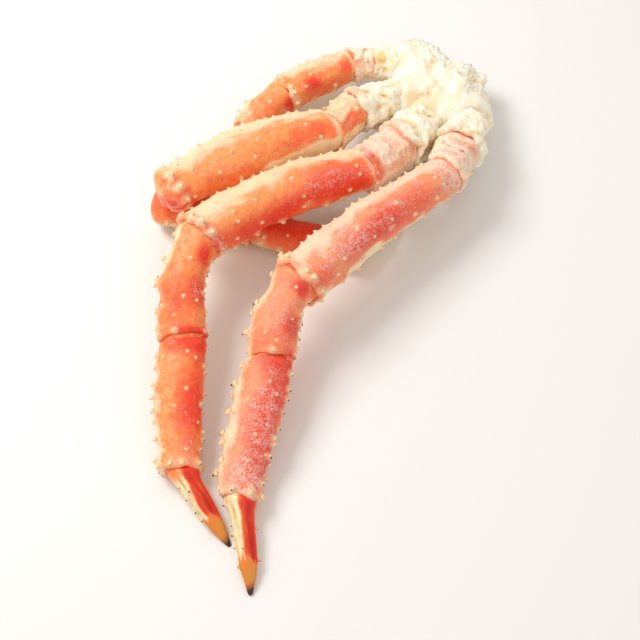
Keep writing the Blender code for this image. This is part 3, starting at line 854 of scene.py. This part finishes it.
# Where the pale outer edge ends (partly own pale colour, partly painted light on the side facing
# the key light), patches of red and of frost, and the size of the spines.
SHIN_LOOKS = {
    ("arm", "carpus"): dict(
        edge=(60, 65), seed=60, paint=orange_shell, grow=0.8, frost=(),
        red=((0.1, 165, 0.1, 40, 0.9), (0.6, 110, 0.3, 50, 0.3))),
    ("leg_front", "carpus"): dict(
        edge=-30, seed=65, paint=orange_shell, grow=0.8, frost=(),
        red=((0.5, 110, 0.8, 90, 0.75),)),
    ("leg_front", "propodus"): dict(
        edge=-30, seed=70, paint=orange_shell, grow=0.8, frost=(),
        red=((0.5, 110, 0.8, 90, 0.95),)),
    ("leg_middle", "carpus"): dict(
        edge=(44, 46, 10, -10), seed=75, paint=orange_shell, grow=1.0,
        red=((0.18, 140, 0.12, 26, 1.2), (0.6, 145, 0.14, 34, 0.9), (0.7, 80, 0.3, 60, 0.45),
             (1.0, 140, 0.06, 60, 1.2)),
        frost=((0.58, 140, 0.14, 28, 0.6),)),
    ("leg_middle", "propodus"): dict(
        edge=(-10, 20, 30, 34), seed=80, paint=orange_shell, grow=1.0,
        red=((0.0, 120, 0.14, 80, 1.1), (0.56, 130, 0.26, 48, 1.1), (0.2, 150, 0.16, 40, 0.4),
             (0.95, 140, 0.1, 60, 0.3)),
        frost=((0.65, 120, 0.2, 45, 0.35), (0.95, 110, 0.12, 80, 0.5))),
    ("leg_rear", "carpus"): dict(
        edge=(38, 38, 24, 0), seed=85, paint=pink_shell, grow=1.35,
        red=((0.12, 125, 0.09, 30, 1.1), (0.6, 145, 0.18, 38, 1.1), (0.85, 90, 0.2, 60, 0.3),
             (1.0, 170, 0.06, 40, 1.2)),
        frost=((0.3, 90, 0.3, 70, 0.35), (0.7, 110, 0.3, 70, 0.45))),
    ("leg_rear", "propodus"): dict(
        edge=(24, 42, 48, 50, 48), seed=90, paint=pink_shell, grow=1.35,
        red=((0.03, 130, 0.12, 70, 0.9), (0.26, 138, 0.16, 44, 1.1), (0.5, 120, 0.2, 50, 0.9),
             (0.68, 140, 0.15, 40, 1.3), (0.9, 130, 0.14, 50, 0.9)),
        frost=((0.2, 110, 0.22, 70, 0.5), (0.6, 105, 0.3, 80, 0.65), (0.92, 110, 0.14, 90, 0.65))),
}
for (limb_name, piece_name), looks in SHIN_LOOKS.items():
    shin = limbs[limb_name][piece_name]
    ends, seed, grow = SHIN_ENDS[piece_name], looks["seed"], looks["grow"]
    random = np.random.default_rng(seed)
    shin.lay_grid(lip=1.5)
    joint_relief(shin, seed, neck=0.7, flare=0.3, **ends["joint"])
    shin.swell += ends["bulge"] * bell(shin.from_root - 1, 6)
    uneven_skin(shin, seed, low=1.1, fine=0.16)
    keel(shin, angle=4, height=0.9, width=16)
    keel(shin, angle=174, height=0.7, width=14)
    set_spines(shin, random, SHIN_ROWS, margin=(5, 3), grow=grow)
    rim_spines(shin, random, **ends["rim"])
    shin.masks["red"] = patches(shin, looks["red"])
    # Pale field on the outer side, which faces the key light: partly the shell's own colour, partly
    # painted light.
    shin.masks["pale"] = 0.9 * arc_band(shin, np.subtract(looks["edge"], 100), looks["edge"],
                                        soft=60, ragged=2.4)
    cream_rim = (0.45 + 0.5 * lumps(shin.base, 9, seed)) * bell(shin.to_tip - 1, 2.5)
    shin.masks["cream"] = np.clip(
        arc_band(shin, (-20, -16), 12 * grow ** 3, soft=36) * 0.8
        + arc_band(shin, (212, 205), 320, soft=30) * 0.6
        + arc_band(shin, 172, 186, soft=16) * 0.4 + cream_rim * ends["cream_rim"], 0, 1)
    shin.masks["crease"] = 0.8 * root_line(shin, 1.3) * (not shin.piece.ends.startswith("dome"))
    shin.masks["frost"] = patches(shin, looks["frost"])
    make_shell(limb_name, shin, looks["paint"])

# ------------------------------------------------------------------------------------------
# The two short shells at the root of each limb. The coxa is a thick, lumpy cap of cream shell
# and meat whose rounded lip grips the ischium; the ischium is pale and pink, with brown-red
# veins and two soft folds, and lightly frosted.
root_shell = shell_paint("root_shell", (253, 228, 200), (250, 192, 156), (243, 112, 72),
                         (254, 234, 216), (253, 238, 208), (218, 108, 70))
# The broad amber and brown patches that run the whole coxa on the side facing the next coxa (170 to
# 190 degrees on the front and middle legs, 20 degrees on the rear leg) are painted shade in the
# creases between the coxae. The small patches are stains and crease lines.
COXA_LOOKS = {
    "arm": dict(seed=100, stain=((0.85, 105, 0.22, 26, 1.0), (0.4, 125, 0.2, 30, 0.7)), dark=(),
                blush=((1.0, 150, 0.2, 40, 0.4),)),
    "leg_front": dict(seed=110, stain=((0.5, 105, 0.12, 18, 0.9), (0.5, 170, 0.5, 20, 0.5)),
                      dark=((0.5, 106, 0.05, 9, 0.8), (0.5, 190, 0.5, 22, 0.6)),
                      blush=((1.0, 60, 0.16, 50, 0.6),)),
    "leg_middle": dict(seed=120, stain=((0.12, 100, 0.14, 20, 1.0), (0.6, 170, 0.6, 22, 0.7)),
                       dark=((0.1, 98, 0.06, 10, 0.8), (0.4, 182, 0.6, 22, 0.7)),
                       blush=((1.0, 50, 0.1, 50, 0.5),)),
    "leg_rear": dict(seed=130, stain=((0.9, 130, 0.1, 50, 0.9),),
                     dark=((0.93, 140, 0.03, 34, 0.8), (0.5, 20, 0.5, 20, 0.5)),
                     blush=((1.0, 90, 0.08, 60, 0.4),)),
}
for limb_name, looks in COXA_LOOKS.items():
    coxa = limbs[limb_name]["coxa"]
    seed = looks["seed"]
    coxa.lay_grid(lip=4.2)
    joint_relief(coxa, seed, neck=0.2, flare=1.3, wave=2.6, arc=-0.8)
    pebble = knobs(coxa.base + 1.5 * lumps(coxa.base, 6, seed + 10)[..., None], 5.5, seed + 11)
    knob = knobs(coxa.base + 2.5 * lumps(coxa.base, 11, seed + 9)[..., None], 11, seed + 4)
    coxa.swell += ((3.8 * knob + 1.7) * smooth(coxa.to_tip / 9 + 0.3) + 1.5 * (pebble + 0.4)
                   + 2.0 * lumps(coxa.base, 17, seed + 3)
                   + layers(coxa.base, ((6, 0.9), (2.4, 0.5), (1.6, 0.15)), seed + 5))
    # Painted shade in cream-tan: in the creases between the lumps and pebbles and in the groove
    # behind the lip.
    groove = bell(coxa.to_tip - 9, 2.5) * (0.6 + 0.6 * lumps(coxa.base, 12, seed + 8))
    coxa.masks["hollow"] = np.clip(0.6 * smooth((-knob - 0.4) / 0.5) + 0.7 * groove
                                   + 0.5 * smooth((-pebble - 0.5) / 0.4), 0, 1)
    for mask in ("stain", "dark", "blush"):
        coxa.masks[mask] = patches(coxa, looks[mask])
    coxa.masks["blush"] += 0.35 * bell(coxa.to_tip, 3.5)
    make_shell(limb_name, coxa, meat_material)

ISCHIUM_ROWS = ((60, 18, 1.5, 1.7, 0.5, 0), (120, 18, 1.5, 1.7, 0.5, 0),
                (175, 14, 2.2, 2.0, 0.6, 0), (20, 14, 1.8, 1.6, 0.6, 0))
# Share of the length and depth of each fold.
ISCHIUM_FOLDS = ((0.3, 0.9), (0.62, 1.2))
ISCHIUM_LOOKS = {
    "arm": dict(seed=105, paint=root_shell, cream=(60, 110), frost=0.25, pale=0,
                red=((0.95, 110, 0.2, 40, 0.7), (0.5, 160, 0.3, 24, 0.4)),
                crease=((0.62, 100, 0.06, 18, 0.7),)),
    "leg_front": dict(seed=115, paint=orange_shell, cream=(158, 215), frost=0.1, pale=1.1,
                      red=((0.72, 126, 0.2, 30, 0.9), (0.05, 100, 0.08, 50, 0.3),
                           (0.4, 135, 0.2, 20, 0.4)),
                      crease=((0.12, 80, 0.05, 40, 0.6),)),
    "leg_middle": dict(seed=125, paint=root_shell, cream=(165, 215), frost=0.4, pale=0,
                       red=((1.0, 130, 0.13, 60, 1.1), (0.6, 160, 0.3, 22, 0.6),
                            (0.12, 120, 0.08, 60, 0.7), (0.5, 100, 0.4, 40, 0.25)),
                       crease=((0.98, 120, 0.03, 60, 0.6),)),
    "leg_rear": dict(seed=135, paint=root_shell, cream=(0, 60), frost=0.4, pale=0,
                     red=((0.34, 115, 0.12, 46, 0.7), (0.4, 150, 0.16, 20, 0.5),
                          (0.85, 100, 0.1, 40, 0.3)),
                     crease=((0.62, 80, 0.04, 60, 0.5), (0.3, 140, 0.06, 26, 0.5))),
}
for limb_name, looks in ISCHIUM_LOOKS.items():
    ischium = limbs[limb_name]["ischium"]
    seed = looks["seed"]
    random = np.random.default_rng(seed)
    ischium.lay_grid(lip=2.6)
    joint_relief(ischium, seed, neck=1.0, flare=1.0, wave=2.2, arc=-0.8)
    uneven_skin(ischium, seed, low=2.4, fine=0.3)
    ischium.swell += layers(ischium.base, ((5.5, 0.8), (2.5, 0.35)), seed + 4)
    for place, depth in ISCHIUM_FOLDS:
        wander = place * ischium.piece.length + 3.5 * lumps(ischium.base, 16, seed + 6)
        ischium.swell -= depth * bell(ischium.from_root - wander, 1.2) * (
            0.5 + 0.5 * lumps(ischium.base, 10, seed + 7))
    set_spines(ischium, random, ISCHIUM_ROWS, margin=(8, 5))
    ischium.masks["red"] = patches(ischium, looks["red"])
    # A random paler tone. On the front leg there is also a pale field on the lit side, partly own
    # colour and partly painted light.
    ischium.masks["pale"] = (0.3 + 0.4 * lumps(ischium.base, 9, seed + 5)
                             + looks["pale"] * arc_band(ischium, -60, (92, 104), soft=40))
    ischium.masks["cream"] = arc_band(ischium, *looks["cream"], soft=30) * 0.8
    veins = (bell(lumps(ischium.base, 3.4, seed + 8), 0.12)
             * smooth(lumps(ischium.base, 9, seed + 9) * 1.5 + 0.6))
    ischium.masks["crease"] = np.clip(0.5 * root_line(ischium, 1.4) + 0.65 * veins
                                      + patches(ischium, looks["crease"]), 0, 1)
    ischium.masks["frost"] = np.full(ischium.swell.shape, looks["frost"])
    make_shell(limb_name, ischium, looks["paint"])

# ------------------------------------------------------------------------------------------
# The pointed last shell of each leg: smooth, cream-green along its outer side, with a broad red
# stripe, darker down the middle, that reaches the inner edge, and amber horn at the tip that
# ends almost black. Small spinelets of black horn stand along both edges.
TOE_ROWS = ((18, 9.5, 2.0, 1.1, 0.8, 1.6), (68, 26, 1.2, 0.9, 0.7, 1.6),
            (172, 24, 1.8, 1.0, 0.8, 1.6), (235, 15, 1.6, 0.9, 0.8, 1.6),
            (310, 13, 1.7, 1.0, 0.8, 1.6))
# Seed, angle where the stripe starts, and strength of the orange blush at the root.
TOE_LOOKS = {"leg_front": (140, 60, 1.2), "leg_middle": (141, 70, 1.2), "leg_rear": (142, 84, 0.5)}


def toe_paint():
    """Cream-green shell with a red stripe, amber horn at the tip and an almost black point."""
    paint = Paint("toe_shell", (246, 226, 178), Subsurface_Weight=0.08, Subsurface_Scale=0.002,
                  IOR=1.45)
    cloud = paint.noise(5, 3)
    grain = paint.noise(1.3, 2, 0.5)
    streak = paint.mask("streak")
    wander = (cloud - 0.5) * 0.5 + (grain - 0.5) * 0.4 + streak * 0.2
    paint.coat(cloud + streak * 0.3, 0.3, 0.7, (228, 204, 152))
    paint.coat(paint.mask("blush") + wander, 0.2, 0.95, (248, 138, 70))
    stripe = paint.mask("stripe") + wander * 0.6
    paint.coat(stripe, 0.1, 0.5, (242, 100, 46))
    paint.coat(stripe, 0.35, 0.8, (228, 50, 24))
    paint.coat(paint.mask("deep") + wander * 1.2, 0.3, 1.0, (186, 20, 12), 0.9)
    horn = paint.mask("horn") + streak * 0.25 + (grain - 0.5) * 0.3
    paint.coat(horn, 0.1, 0.55, (238, 128, 50))
    paint.coat(horn + streak * 0.3, 0.4, 1.0, (216, 140, 50))
    point = paint.mask("point") + streak * 0.15
    paint.coat(point, 0.0, 0.6, (176, 92, 24))
    paint.coat(point, 0.6, 0.95, (66, 26, 10))
    return paint.finish(0.3 + (cloud - 0.5) * 0.2, grain * 0.5 + cloud * 0.5, 0.25)


toe_shell = toe_paint()


def paint_toe(toe, start, end, horn, blush=1.2):
    """Masks of a pointed shell: stripe between two angles, dark line, blush, horn and point."""
    streak = drawn_out(toe, 2.2, 6, 161) + 0.6 * drawn_out(toe, 1.1, 6, 162)
    length = toe.s[:, None]
    s = length + 0.08 * np.cos(np.radians(toe.angle - 70))[None, :] + 0.02 * streak
    fade = 1 - smooth((s - horn) / 0.12)
    toe.masks["streak"] = streak
    toe.masks["stripe"] = arc_band(toe, (start + 12, start - 2, start - 6), end, soft=34) * fade
    toe.masks["deep"] = (arc_band(toe, (start + 20, start + 14), (start + 40, start + 64), soft=36)
                         * fade * smooth(length / 0.12))
    toe.masks["blush"] = (blush * bell(length, 0.16)
                          + arc_band(toe, end - 10, end + 40, soft=30) * fade * 0.8)
    toe.masks["horn"] = smooth((s - horn + 0.06) / 0.2)
    toe.masks["point"] = smooth((length - 0.87) / 0.12)


for limb_name, (seed, start, blush) in TOE_LOOKS.items():
    toe = limbs[limb_name]["dactylus"]
    random = np.random.default_rng(seed)
    toe.lay_grid()
    joint_relief(toe, seed, neck=0.6)
    uneven_skin(toe, seed, low=0.35, fine=0.06)
    toe.swell += 2.4 * root_line(toe, 13)
    toe.swell -= 0.4 * bell(turned(toe.angle, start + 30)[None, :], 20) * smooth(toe.to_tip / 20)
    set_spines(toe, random, TOE_ROWS, margin=(5, toe.piece.length * 0.22))
    paint_toe(toe, start, end=160, horn=0.7, blush=blush)
    make_shell(limb_name, toe, toe_shell)

# ------------------------------------------------------------------------------------------
# The claw at the end of the arm, curled in under the legs: a palm that runs out into the fixed
# finger, and the free finger beside it.
CLAW_HEADING, CLAW_PITCH = -65, -2.5
PALM = Piece("palm", 78, CLAW_HEADING, CLAW_PITCH, (23, 31, 31, 15, 10, 3), (19, 24, 23, 13, 9, 3),
             0, 0, "knob tip")
PALM_LEAN = (0, 0, 0, -8, -5, -1)
FINGER = Piece("finger", 36, CLAW_HEADING - 8, CLAW_PITCH, (12, 11, 3), (13, 11, 3),
               3, 0, "dome tip")
FINGER_STEP = (43, 9)

wrist = limbs["arm"]["carpus"]
palm = Shell(PALM, wrist.end, PALM_LEAN)
palm.start_plane = unit(wrist.tangent(np.array([1.0]))[0] * wrist.piece.widths[-1] ** 2
                        + palm.start_plane * PALM.widths[0] ** 2)
random = np.random.default_rng(150)
palm.lay_grid()
joint_relief(palm, 150, neck=0.9)
uneven_skin(palm, 150, low=0.7, fine=0.15)
set_spines(palm, random, SHIN_ROWS, margin=(6, 36), grow=0.7)
palm.masks["red"] = patches(palm, ((0.3, 110, 0.3, 60, 0.6), (0.8, 90, 0.2, 90, 0.9)))
# Pale field on the outer side, partly own colour and partly painted light, as on the legs.
palm.masks["pale"] = arc_band(palm, -60, 40, soft=30)
palm.masks["cream"] = arc_band(palm, 205, 320, soft=30) * 0.7
palm.masks["crease"] = 0.9 * root_line(palm, 1.4)
palm.masks["frost"] = 0 * palm.swell
make_shell("arm", palm, orange_shell)

finger = Shell(FINGER, palm.start + palm.along * FINGER_STEP[0] + palm.side * FINGER_STEP[1])
finger.lay_grid()
uneven_skin(finger, 155, low=0.3, fine=0.06)
paint_toe(finger, start=40, end=150, horn=0.66)
make_shell("arm", finger, toe_shell)

# ------------------------------------------------------------------------------------------
# The spines: cones of the shell itself, cream and slightly hooked towards the leg's tip, those
# beyond the knee with points of dark horn.
SPINE_ROWS, SPINE_COLUMNS = 8, 10
# Shares of a spine's height: how deep its foot stands in the shell, and how far its tip hooks.
SPINE_SUNK, SPINE_HOOK = 0.12, 0.22


def spine_paint():
    """Cream at the foot, brown and then almost black at the point."""
    paint = Paint("spine_horn", (253, 222, 178), Subsurface_Weight=0.15, Subsurface_Scale=0.002,
                  IOR=1.5)
    grain = paint.noise(1.0, 2)
    dark = paint.ramp(paint.mask("dark") + (grain - 0.5) * 0.1, 0.58, 0.78)
    paint.coat(grain, 0.35, 0.7, (252, 202, 148))
    paint.coat(paint.mask("foot"), 0.2, 1.0, (252, 192, 142), 0.8)
    paint.cover(dark, (58, 26, 16))
    return paint.finish(0.4 - dark * 0.1, grain, 0.15)


def cones(feet):
    """Cones with a flared foot: radius (1-t) to the power of bluntness, axis bending to the tip."""
    feet = np.array(feet)[:, None]
    place, aim, along = feet[..., 0:3], feet[..., 3:6], feet[..., 6:9]
    foot, height, blunt, dark = (feet[..., column] for column in range(9, 13))
    t = 1 - np.linspace(1, 0, SPINE_ROWS + 1)[:-1] ** 1.3
    turn = -2 * math.pi * np.arange(SPINE_COLUMNS)[:, None] / SPINE_COLUMNS
    radius = foot * ((1 - t) ** blunt + 0.25 * np.exp(-t / 0.12))
    across = unit(np.cross(aim, along + 0.01 * UP))
    ring = across * np.cos(turn) + np.cross(aim, across) * np.sin(turn)
    rise = (place + aim * (height * (t * (1 + SPINE_SUNK) - SPINE_SUNK))[..., None]
            + along * (SPINE_HOOK * height * t ** 2)[..., None])
    grids = rise[:, :, None] + ring[:, None] * radius[:, :, None, None]
    height = height[..., None]
    poles = np.concatenate([place - aim * (SPINE_SUNK * height),
                            place + aim * height + along * (SPINE_HOOK * height)], 1)
    for part in (grids, poles):
        part[..., 2] = np.maximum(part[..., 2], FLOOR_GAP)
    share = np.concatenate([np.repeat(t, SPINE_COLUMNS), [0, 1]])
    return closed_skins(grids, poles), {"dark": share ** 0.8 * dark,
                                        "foot": np.clip(1 - share * 3, 0, 1) + 0 * dark}


spine_horn = spine_paint()
for limb_name, feet in spine_feet.items():
    spines = make_mesh(limb_name + "_spines", *cones(feet), spine_horn)
    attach(spines, "root")

# ------------------------------------------------------------------------------------------
# The soft skin of the joints: a tough red-orange membrane, folded between two shells, that
# shows as a dark line in the gap.
PAD_ROWS, PAD_COLUMNS = 16, 90
# How far a pad reaches into the inner shell and, at least, over the outer one's root.
PAD_REACH = 3.0


def membrane_paint():
    """Wet orange-red skin, darker in its folds."""
    paint = Paint("joint_skin", (238, 100, 54), Subsurface_Weight=0.15, Subsurface_Scale=0.002,
                  IOR=1.4)
    cloud = paint.noise(3, 3)
    grain = paint.noise(1.1, 2)
    paint.coat(cloud, 0.35, 0.7, (250, 158, 104))
    paint.coat(grain, 0.55, 0.75, (252, 204, 160), 0.3)
    return paint.finish(0.35 + cloud * 0.1, cloud + grain * 0.3, 0.6)


def membrane(inner, outer):
    """A skirt across the joint, from inside the inner shell's rim to round the outer's root."""
    t = np.linspace(0, 1, PAD_ROWS)
    angle = np.radians(360 * np.arange(PAD_COLUMNS) / PAD_COLUMNS)
    near, far = inner.rings(np.array([1.0]), angle)[0], outer.rings(np.array([0.0]), angle)[0]
    reach = PAD_REACH + 0.4 * max(inner.piece.widths[-1] - outer.piece.widths[0], 0)
    tight = 0.8 if inner.piece.name == "coxa" else 0.92
    share = smooth(t)[:, None, None]
    closed = np.sqrt(1 - np.abs(2 * t - 1) ** 8 * 0.96)[:, None, None]
    middle = near.mean(0) * (1 - share) + far.mean(0) * share
    ring = ((near - near.mean(0)) * tight * (1 - share)
            + (far - far.mean(0)) * min(tight + 0.06, 1) * share)
    out = ((reach + PAD_REACH) * t - PAD_REACH)[:, None, None]
    return (middle + ring * closed + inner.end_plane * out,
            (middle[0, 0] - inner.end_plane * PAD_REACH, middle[-1, 0] + inner.end_plane * reach))


skin_material = membrane_paint()
for limb_name, limb in limbs.items():
    order = [*limb.values()] + [palm] * (limb_name == "arm")
    grids, poles = zip(*(membrane(inner, outer) for inner, outer in zip(order, order[1:])
                         if inner.piece.ends.endswith("cup")))
    pad = make_mesh(limb_name + "_joint_skins", closed_skins(np.array(grids), np.array(poles)),
                    {}, skin_material)
    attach(pad, "root")

# ------------------------------------------------------------------------------------------
# The frost: grains of ice that grew on the frozen shells, thickest on the rear leg and on the
# middle leg's upper half, and mostly where a shell faces up.
FROST_GRAINS = 2600
GRAIN_SIZES = (0.16, 0.34)


def frost_paint():
    """Cloudy ice, white to pale pink."""
    paint = Paint("frost_ice", (254, 230, 220), Subsurface_Weight=0.3, Subsurface_Scale=0.001,
                  IOR=1.31)
    cloud = paint.noise(4, 2)
    paint.cover(cloud, (252, 196, 178))
    return paint.finish(0.3 + cloud * 0.1, cloud, 0.1)


def grains(points, normals, sizes, random):
    """Uneven eight-sided grains: six points on three turned axes, joined by eight faces."""
    count = len(points)
    first = unit(random.normal(size=(count, 3)))
    second = unit(np.cross(first, random.normal(size=(count, 3))))
    third = np.cross(first, second)
    axes = np.stack([first, -first, second, -second, third, -third], 1)
    corners = (points + normals * (0.25 * sizes)[:, None])[:, None] + axes * (
        sizes[:, None, None] * random.uniform(0.6, 1.3, (count, 6, 1)))
    faces = np.array([(0, 2, 4), (2, 1, 4), (1, 3, 4), (3, 0, 4),
                      (2, 0, 5), (1, 2, 5), (3, 1, 5), (0, 3, 5)])
    faces = faces[None] + 6 * np.arange(count)[:, None, None]
    return corners.reshape(-1, 3), np.zeros((0, 4), int), faces.reshape(-1, 3)


random = np.random.default_rng(200)
frosted = [shell for shell in finished if "frost" in shell.masks]
spots, normals = (np.concatenate([getattr(shell, part).reshape(-1, 3) for shell in frosted])
                  for part in ("points", "normals"))
weights = np.concatenate([
    (shell.masks["frost"] ** 2.2 * np.maximum(shell.normals[..., 2] + 0.3, 0)
     * smooth(0.3 + 1.2 * lumps(shell.points, 4, 201)) * shell.firm).ravel() for shell in frosted])
picked = random.choice(len(weights), FROST_GRAINS, replace=False, p=weights / weights.sum())
grain_sizes = random.uniform(*GRAIN_SIZES, FROST_GRAINS)
frost = make_mesh("frost_grains", grains(spots[picked], normals[picked], grain_sizes, random),
                  {}, frost_paint())
frost.data.shade_flat()
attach(frost, "root")

# ------------------------------------------------------------------------------------------
# The stage: a pale floor, soft studio light from above and behind on the left, and a camera
# that looks down on the cluster from the side of the long legs' tips.
scene = bpy.context.scene
scene.view_settings.view_transform = "Standard"

bpy.ops.mesh.primitive_plane_add(size=6)
floor = bpy.context.object
floor.name = "floor"
floor_paint = bpy.data.materials.new("floor")
floor_paint.use_nodes = True
floor_shader = floor_paint.node_tree.nodes["Principled BSDF"]
floor_shader.inputs["Base Color"].default_value = (0.86, 0.84, 0.82, 1)
floor_shader.inputs["Roughness"].default_value = 0.7
floor.data.materials.append(floor_paint)

world = bpy.data.worlds.new("studio")
world.use_nodes = True
sky = world.node_tree.nodes["Background"].inputs
sky["Color"].default_value = (1.0, 0.965, 0.93, 1)
sky["Strength"].default_value = 0.66
scene.world = world


def aimed(name, data, place, aim):
    """A light or a camera at a place, in metres, that looks at a point."""
    made = bpy.data.objects.new(name, data)
    scene.collection.objects.link(made)
    made.location = place
    made.rotation_euler = (Vector(aim) - Vector(place)).to_track_quat("-Z", "Y").to_euler()
    return made


middle = (cad_box[0] + cad_box[1]) / 2
for name, place, size, power in (("key", (-0.75, 0.55, 1.1), 0.6, 13),
                                 ("fill", (0.5, -1.0, 1.2), 1.2, 3)):
    light = bpy.data.lights.new(name, "AREA")
    light.size = size
    light.energy = power
    aimed(name, light, place, middle)

lens = bpy.data.cameras.new("camera")
lens.lens = 74.5
scene.camera = aimed("camera", lens, (-0.0647, -0.5327, 0.900), (-0.0173, -0.0341, 0.030))
